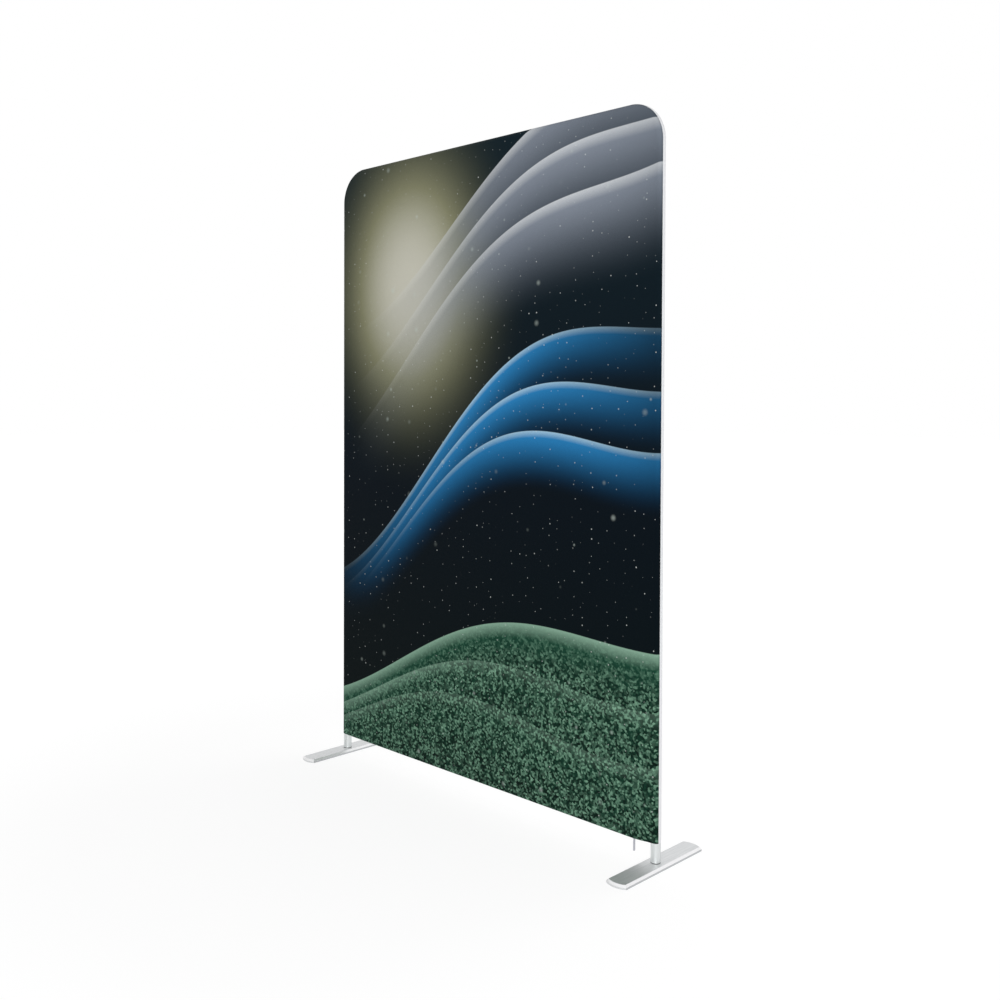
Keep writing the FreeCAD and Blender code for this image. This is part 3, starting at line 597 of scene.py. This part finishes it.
def printed_polyester():
    """Dye-printed knit: matt, with a soft sheen. The print is an abstract of swaying light over a mosaic."""
    material = blank("printed_stretch_polyester")
    place = put(material, "TexCoord").outputs["Object"]
    at = put(material, "SeparateXYZ", {"Vector": place})
    x = at.outputs["X"]
    z = at.outputs["Z"]
    flat_place = put(material, "CombineXYZ", {"X": x, "Y": z}).outputs["Vector"]
    # Dark ground, with a warm haze of light behind the ribbons.
    rise = put(material, "MapRange", {
        "Value": z, "From Min": cover_low.z, "From Max": cover_high.z}).outputs["Result"]
    ground = put(material, "ValToRGB", {
        "Fac": rise}, stops=((0.0, "#020d0c"), (0.45, "#030e17"), (1.0, "#0f2028")))
    aside = put(material, "VectorMath", {0: flat_place, 1: HAZE_CENTRE}, operation="SUBTRACT")
    squeezed = put(material, "VectorMath", {
        0: aside.outputs["Vector"], 1: HAZE_SQUEEZE}, operation="MULTIPLY")
    away = put(material, "VectorMath", {
        0: squeezed.outputs["Vector"]}, operation="LENGTH").outputs["Value"]
    haze = put(material, "MapRange", {
        "Value": away, "From Max": HAZE_REACH, "To Min": 0.9, "To Max": 0.0},
        interpolation_type="SMOOTHERSTEP").outputs["Result"]
    warm = put(material, "ValToRGB", {
        "Fac": haze}, stops=((0.0, "#6f7358"), (0.55, "#b9b891"), (1.0, "#eceade")))
    colour = put(material, "Mix", {
        "Factor": haze, "A": ground.outputs["Color"], "B": warm.outputs["Color"]},
        data_type="RGBA").outputs["Result"]
    for step in range(RIBBONS):
        below = depth_below(material, x, z, height=2.04 - 0.15 * step, slant=0.40 + 0.08 * step,
                            sway=0.13, phase=0.5 + 0.4 * step)
        colour = ribbon(material, x, below, colour, depth=0.34, colours=SILVER, strength=0.8,
                        middle=0.4, reach=1.1)
    for step in range(RIBBONS):
        below = depth_below(material, x, z, height=1.27 - 0.11 * step, slant=0.50 - 0.05 * step,
                            sway=0.17, phase=0.9 + 0.25 * step)
        colour = ribbon(material, x, below, colour, depth=0.20, colours=BLUE, strength=0.9,
                        middle=0.05 + 0.12 * step, reach=0.95)
    # Green ribbons run right across the foot of the print, and a mosaic fades in below the first.
    lows = [depth_below(material, x, z, height=0.52 - 0.12 * step, slant=0.24 - 0.05 * step,
                        sway=0.09, phase=1.4 + 0.4 * step) for step in range(RIBBONS)]
    for below in lows:
        colour = ribbon(material, x, below, colour, depth=0.42, colours=LEAF, strength=0.9,
                        middle=0.0, reach=9.0)
    laid = put(material, "MapRange", {"Value": lows[0], "From Max": MOSAIC_FADE}).outputs["Result"]
    colour = chips(material, flat_place, colour, LARGE_CHIP, MOSS, strength=0.5, where=laid)
    colour = chips(material, flat_place, colour, SMALL_CHIP, MOSS, strength=0.62, where=laid)
    colour = specks(material, flat_place, colour, SMALL_SPECK_CELL,
                    size=0.10, share=0.5, colour="#f2f7f4", strength=0.95)
    colour = specks(material, flat_place, colour, LARGE_SPECK_CELL,
                    size=0.10, share=0.55, colour="#d8e6df", strength=0.4)
    # Painted shade where the cloth turns round the tube towards the seam.
    seam_painted_shade = put(material, "MapRange", {
        "Value": at.outputs["Y"], "From Min": SEAM_SHADE_START, "From Max": SEAM_SHADE_FULL,
        "To Max": 0.12}).outputs["Result"]
    colour = put(material, "Mix", {
        "Factor": seam_painted_shade, "A": colour, "B": linear("#05080b")}, data_type="RGBA").outputs["Result"]
    # The knit's painted shade between the loops is near black on the print.
    colour, bumps = knit(material, place, colour, "#010304", 0.3)
    shader = put(material, "BsdfPrincipled", {
        "Base Color": colour, "Roughness": 0.7, "Specular IOR Level": 0.05, "Sheen Weight": 0.01,
        "Sheen Roughness": 0.5, "Normal": bumps})
    put(material, "OutputMaterial", {"Surface": shader.outputs["BSDF"]})
    return material


# Size of the bars that uneven yarn leaves in the white knit: along, through and up.
YARN_BAR = (900 * MM, 60 * MM, 14 * MM)


def white_polyester():
    """Undyed optical white of the same knit, in faint level bars where the yarn varies."""
    material = blank("white_stretch_polyester")
    place = put(material, "TexCoord").outputs["Object"]
    level = put(material, "Mapping", {
        "Vector": place, "Scale": [1 / size for size in YARN_BAR]}).outputs["Vector"]
    bars = put(material, "TexNoise", {"Vector": level, "Scale": 1.0, "Detail": 3.0}).outputs["Fac"]
    tint = put(material, "ValToRGB", {"Fac": bars}, stops=((0.3, "#f0f1f3"), (0.7, "#f2f3f5")))
    # The knit's painted shade between the loops is a pale grey on the white.
    colour, bumps = knit(material, place, tint.outputs["Color"], "#ccd0d5", 0.3)
    shader = put(material, "BsdfPrincipled", {
        "Base Color": colour, "Roughness": 0.75, "Specular IOR Level": 0.3,
        "Sheen Weight": 0.1, "Sheen Roughness": 0.5, "Normal": bumps})
    put(material, "OutputMaterial", {"Surface": shader.outputs["BSDF"]})
    return material


print_cloth = printed_polyester()
white_cloth = white_polyester()
front = cover_half("printed_front", -1, SEAM_TURN, [print_cloth, white_cloth])
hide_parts("front_panel")
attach(front, "frame")


# Plain back of the cover
# The same knit left white. It carries on round the tubes from the side seam, so a narrow white
# edge shows beside the print.
BACK_TURN = math.pi - SEAM_TURN
back = cover_half("white_back", 1, BACK_TURN, [white_cloth, white_cloth])
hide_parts("back_panel")
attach(back, "frame")


# Side seam
# The two halves are joined by a zigzag flatlock seam in white polyester thread, which runs up one
# side, over the top and down the other.
SEAM_THREAD = 0.28 * MM
SEAM_ZIGZAG = 1.1 * MM
SEAM_STITCH = 1.6 * MM
# Real twist in the thread is about 0.4 mm, and is drawn coarser so that it shows.
THREAD_TWIST = 0.8 * MM
TWIST_DEPTH = 0.1 * MM


def strands(name, paths, radius, material, sides=6, across=Vector((0, 1, 0))):
    """Round strands along lists of points, closed at both ends, as one mesh."""
    points = []
    faces = []
    for path in paths:
        start = len(points)
        for k, here in enumerate(path):
            along = (path[min(k + 1, len(path) - 1)] - path[max(k - 1, 0)]).normalized()
            one = along.cross(across).normalized()
            two = along.cross(one)
            for side in range(sides):
                turn = 2 * math.pi * side / sides
                points.append(here + (one * math.cos(turn) + two * math.sin(turn)) * radius)
        for k in range(len(path) - 1):
            for side in range(sides):
                a = start + k * sides + side
                b = start + k * sides + (side + 1) % sides
                faces.append((a, b, b + sides, a + sides))
        faces.append([start + side for side in reversed(range(sides))])
        faces.append([len(points) - sides + side for side in range(sides)])
    return mesh_piece(name, points, faces, [material])


def spun_thread():
    """Spun polyester sewing thread: matt white, with a soft twist in its colour."""
    material = blank("white_polyester_thread")
    place = put(material, "TexCoord").outputs["Object"]
    twist = put(material, "TexNoise", {
        "Vector": place, "Scale": 1 / THREAD_TWIST, "Detail": 2.0}).outputs["Fac"]
    tint = put(material, "ValToRGB", {"Fac": twist}, stops=((0.35, "#dcdee0"), (0.65, "#eceeef")))
    bump = put(material, "Bump", {"Strength": 0.3, "Distance": TWIST_DEPTH, "Height": twist})
    shader = put(material, "BsdfPrincipled", {
        "Base Color": tint.outputs["Color"], "Roughness": 0.7, "Specular IOR Level": 0.3,
        "Normal": bump.outputs["Normal"]})
    put(material, "OutputMaterial", {"Surface": shader.outputs["BSDF"]})
    return material


seam_path = []
for stitch in range(int(2 * half_run / SEAM_STITCH) + 1):
    run = stitch * SEAM_STITCH
    centre, out, bend = outline_at(run)
    side = -1 if run <= half_run else 1
    # No stitch hangs below the lifted hem.
    if centre.z < fold_z + HEM_LIFT[side]:
        continue
    turn = SEAM_TURN + (1 if stitch % 2 else -1) * SEAM_ZIGZAG / wrap_r
    radius = wrap_r - SEAM_DEPTH / 2 + PUCKER_HEIGHT / 2 * bend
    seam_path.append(centre + out * (radius * math.sin(turn)) + Vector((0, -radius * math.cos(turn), 0)))
white_thread = spun_thread()
seam = strands("side_seam", [seam_path], SEAM_THREAD, white_thread)
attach(seam, "frame")


# Zip tapes
# Two woven polyester tapes run along the underside. The cloth laps over their outer edges and is
# held there by a row of lockstitch in white thread.
TAPE_THICKNESS = 0.5 * MM
TAPE_EASE = 0.05 * MM
TAPE_INSIDE = 2.3 * MM
TAPE_STEPS = 60
STITCH_PITCH = 3.2 * MM
STITCH_LENGTH = 2.5 * MM
STITCH_THREAD = 0.28 * MM
STITCH_INSET = 1.2 * MM
# A stitch's points: the share of its length, and the height above the cover's underside.
STITCH_POINTS = ((-0.5, 0.25 * MM), (-0.25, -0.1 * MM), (0.25, -0.1 * MM), (0.5, 0.25 * MM))
# Real threads of the tape are about 0.5 mm apart, and are drawn coarser so that they show.
WEAVE = 0.9 * MM
WEAVE_DEPTH = 0.15 * MM


def woven_tape():
    """Plain-woven zip tape: matt white, with the small check of its threads."""
    material = blank("white_woven_tape")
    place = put(material, "TexCoord").outputs["Object"]
    at = put(material, "SeparateXYZ", {"Vector": place})
    waves = []
    for way in "XY":
        turn = put(material, "Math", {0: at.outputs[way], 1: 2 * math.pi / WEAVE}, operation="MULTIPLY")
        wave = put(material, "Math", {0: turn.outputs["Value"]}, operation="SINE")
        waves.append(wave.outputs["Value"])
    weave = put(material, "Math", {0: waves[0], 1: waves[1]}, operation="MULTIPLY").outputs["Value"]
    tint = put(material, "ValToRGB", {"Fac": weave}, stops=((0.0, "#dfe1e3"), (1.0, "#eff0f1")))
    bump = put(material, "Bump", {"Strength": 0.4, "Distance": WEAVE_DEPTH, "Height": weave})
    shader = put(material, "BsdfPrincipled", {
        "Base Color": tint.outputs["Color"], "Roughness": 0.8, "Specular IOR Level": 0.3,
        "Normal": bump.outputs["Normal"]})
    put(material, "OutputMaterial", {"Surface": shader.outputs["BSDF"]})
    return material


tape_cloth = woven_tape()
tape_length = tape_high.x - tape_low.x
tape_z = cover_low.z + CLOTH + TAPE_EASE + TAPE_THICKNESS / 2
# The tape's outer edge lies inside the cover, above the lapped cloth.
tape_far = tape_high.y + TAPE_INSIDE
tape_width = tape_far - tape_low.y
for facing, tape_name, half in ((-1, "zip_front_tape", front), (1, "zip_back_tape", back)):
    tape_y = facing * (tape_low.y + tape_far) / 2
    path = [Vector((tape_low.x + tape_length * step / TAPE_STEPS, tape_y, tape_z))
            for step in range(TAPE_STEPS + 1)]
    tape = strip(tape_name + "_woven", path, TAPE_THICKNESS, tape_width, tape_cloth)
    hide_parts(tape_name)
    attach(tape, "frame")
    stitch_y = facing * (cloth_edge + STITCH_INSET)
    rows = []
    for stitch in range(int(tape_length / STITCH_PITCH)):
        x = tape_low.x + STITCH_PITCH * (stitch + 0.5)
        rows.append([Vector((x + STITCH_LENGTH * share, stitch_y, cover_low.z + lift))
                     for share, lift in STITCH_POINTS])
    sewing = strands(tape_name + "_stitches", rows, STITCH_THREAD, white_thread, sides=5)
    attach(sewing, "frame")


# Zip coils and stops
# Each tape carries a spiral of nylon filament whose loops mesh with the other's, and aluminium
# stops are crimped on at both ends.
COIL_PITCH = 2.0 * MM
COIL_WIRE = 0.38 * MM
COIL_CENTRE = 1.3 * MM
COIL_HALF_WIDTH = 0.75 * MM
COIL_LEAN = 0.2 * COIL_PITCH
COIL_TURNS = [math.radians(turn) for turn in (150, 95, 40, -15, -60, -105)]
# The two rows are half a pitch apart, so that their loops interlock.
COIL_STARTS = {-1: 0.25, 1: 0.75}
# Drawn nylon is a smooth, slightly glossy white.
nylon_filament = moulded("white_nylon_filament", "#e9eae9", "#dcdedd", 0.45, 0.5 * MM)
coil_low, coil_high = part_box("zip_coils")
coil_mid_z = (coil_low.z + coil_high.z) / 2
coil_r = (coil_high.z - coil_low.z) / 2 - COIL_WIRE
loops = []
for facing, start in COIL_STARTS.items():
    for loop in range(int((coil_high.x - coil_low.x) / COIL_PITCH)):
        x = coil_low.x + COIL_PITCH * (loop + start)
        loops.append([Vector((x + COIL_LEAN * k / (len(COIL_TURNS) - 1),
                              facing * (COIL_CENTRE - COIL_HALF_WIDTH * math.cos(turn)),
                              coil_mid_z + coil_r * math.sin(turn))) for k, turn in enumerate(COIL_TURNS)])
coils = strands("zip_coil_loops", loops, COIL_WIRE, nylon_filament, sides=5, across=Vector((1, 0, 0)))
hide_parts("zip_coils")
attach(coils, "frame")
dress(rivet_aluminium, "zip_stops")


# Zip slider and pull
# A zinc die-casting, stove-enamelled in pale grey, runs on the coils. Its pull tab is a second
# casting, hooked on the slider, and hangs by the right pole.
ORANGE_PEEL = 1.5 * MM
PEEL_DEPTH = 0.1 * MM


def enamelled_zinc():
    """Stoved enamel over a casting: satin pale grey with a faint orange peel."""
    material = blank("enamelled_zinc_casting")
    place = put(material, "TexCoord").outputs["Object"]
    peel = put(material, "TexNoise", {
        "Vector": place, "Scale": 1 / ORANGE_PEEL, "Detail": 2.0}).outputs["Fac"]
    tint = put(material, "ValToRGB", {"Fac": peel}, stops=((0.3, "#bcbdc7"), (0.7, "#cacbd3")))
    bump = put(material, "Bump", {"Strength": 0.15, "Distance": PEEL_DEPTH, "Height": peel})
    shader = put(material, "BsdfPrincipled", {
        "Base Color": tint.outputs["Color"], "Roughness": 0.35, "Coat Weight": 0.3, "Coat Roughness": 0.2,
        "Normal": bump.outputs["Normal"]})
    put(material, "OutputMaterial", {"Surface": shader.outputs["BSDF"]})
    return material


dress(enamelled_zinc(), "zip_slider", "zip_pull")


# Floor and light
# A seamless white studio: soft light from all round, a large softbox beside the camera for the
# print and its white edge, and one behind for the back, which the metal doesn't mirror.
FLOOR_HALF = 40.0
PAPER_GLOW = 1.09
# Near the feet the paper keeps part of its shadow, and further out it is plain white.
SHADOW_NEAR = 1.3
SHADOW_FAR = 4.0
GLOW_NEAR = 0.76
AIR_LIGHT = 0.6
AIR_SEEN = 1.0
SOFTBOX_SIZE = 2.4


def seen(material):
    """1 where the camera, a reflection or glass looks straight at the surface, otherwise 0."""
    rays = put(material, "LightPath")
    looked_at = put(material, "Math", {
        0: rays.outputs["Is Camera Ray"], 1: rays.outputs["Is Glossy Ray"]}, operation="MAXIMUM")
    through = put(material, "Math", {
        0: looked_at.outputs["Value"], 1: rays.outputs["Is Transmission Ray"]}, operation="MAXIMUM")
    return through.outputs["Value"]


corners = [(-1, -1), (1, -1), (1, 1), (-1, 1)]
floor_mesh = bpy.data.meshes.new("studio_floor")
floor_mesh.from_pydata([(i * FLOOR_HALF, j * FLOOR_HALF, 0) for i, j in corners], [], [(0, 1, 2, 3)])
floor = bpy.data.objects.new("studio_floor", floor_mesh)
bpy.context.scene.collection.objects.link(floor)
# Matt white paper, which shows itself as plain white and still catches a soft shadow.
paper = blank("white_studio_paper")
matt = put(paper, "BsdfDiffuse", {"Color": linear("#f4f4f4")})
glow = put(paper, "Emission", {"Color": (1, 1, 1, 1), "Strength": PAPER_GLOW})
away = put(paper, "VectorMath", {0: put(paper, "TexCoord").outputs["Object"]}, operation="LENGTH")
white = put(paper, "MapRange", {
    "Value": away.outputs["Value"], "From Min": SHADOW_NEAR, "From Max": SHADOW_FAR,
    "To Min": GLOW_NEAR, "To Max": 1.0})
share = put(paper, "Math", {0: seen(paper), 1: white.outputs["Result"]}, operation="MULTIPLY")
lit = put(paper, "MixShader", {
    0: share.outputs["Value"], 1: matt.outputs["BSDF"], 2: glow.outputs["Emission"]})
put(paper, "OutputMaterial", {"Surface": lit.outputs["Shader"]})
floor_mesh.materials.append(paper)

world = bpy.data.worlds.new("studio_air")
bpy.context.scene.world = world
world.use_nodes = True
world.node_tree.nodes.clear()
air = put(world, "Mix", {"Factor": seen(world), "A": AIR_LIGHT, "B": AIR_SEEN}).outputs["Result"]
backdrop = put(world, "Background", {"Color": (1, 1, 1, 1), "Strength": air})
put(world, "OutputWorld", {"Surface": backdrop.outputs["Background"]})


def softbox(name, place, target, watts, mirrored):
    """A square lamp. One that isn't mirrored lights the cloth but leaves no glare on the metal."""
    light = bpy.data.lights.new(name, "AREA")
    light.size = SOFTBOX_SIZE
    light.energy = watts
    lamp = bpy.data.objects.new(name, light)
    lamp.location = place
    lamp.rotation_euler = (Vector(target) - Vector(place)).to_track_quat("-Z", "Y").to_euler()
    lamp.visible_glossy = mirrored
    bpy.context.scene.collection.objects.link(lamp)


softbox("camera_softbox", place=(3.2, -3.6, 1.8), target=(0.2, 0, 1.1), watts=85, mirrored=True)
softbox("rear_softbox", place=(0.9, 4.6, 1.4), target=(0, 0, 1.1), watts=80, mirrored=False)


# Camera
# It stands at shoulder height to the right of the front, turned 45 degrees, as the photograph shows.
# The focal length and the height of the optical centre are in pixels of a 1000 x 1000 image.
CAMERA_PLACE = Vector((2.6207, -2.5606, 1.3724))
CAMERA_TURN = math.radians(44.65)
CAMERA_DIP = math.radians(1.097)
CAMERA_ROLL = math.radians(0.219)
FOCAL_PX = 1068.3
CENTRE_PX = 423.0
IMAGE_PX = 1000.0
SENSOR_MM = 36
ahead = Vector((-math.sin(CAMERA_TURN) * math.cos(CAMERA_DIP),
                math.cos(CAMERA_TURN) * math.cos(CAMERA_DIP), -math.sin(CAMERA_DIP)))
level = Vector((math.cos(CAMERA_TURN), math.sin(CAMERA_TURN), 0))
upright = level.cross(ahead)
right = level * math.cos(CAMERA_ROLL) + upright * math.sin(CAMERA_ROLL)
above = upright * math.cos(CAMERA_ROLL) - level * math.sin(CAMERA_ROLL)
lens = bpy.data.cameras.new("camera")
lens.sensor_width = SENSOR_MM
lens.lens = SENSOR_MM * FOCAL_PX / IMAGE_PX
lens.shift_y = (CENTRE_PX - IMAGE_PX / 2) / IMAGE_PX
camera = bpy.data.objects.new("camera", lens)
camera.matrix_world = Matrix.Translation(CAMERA_PLACE) @ Matrix((right, above, -ahead)).transposed().to_4x4()
bpy.context.scene.collection.objects.link(camera)
bpy.context.scene.camera = camera
bpy.context.scene.view_settings.view_transform = "Standard"
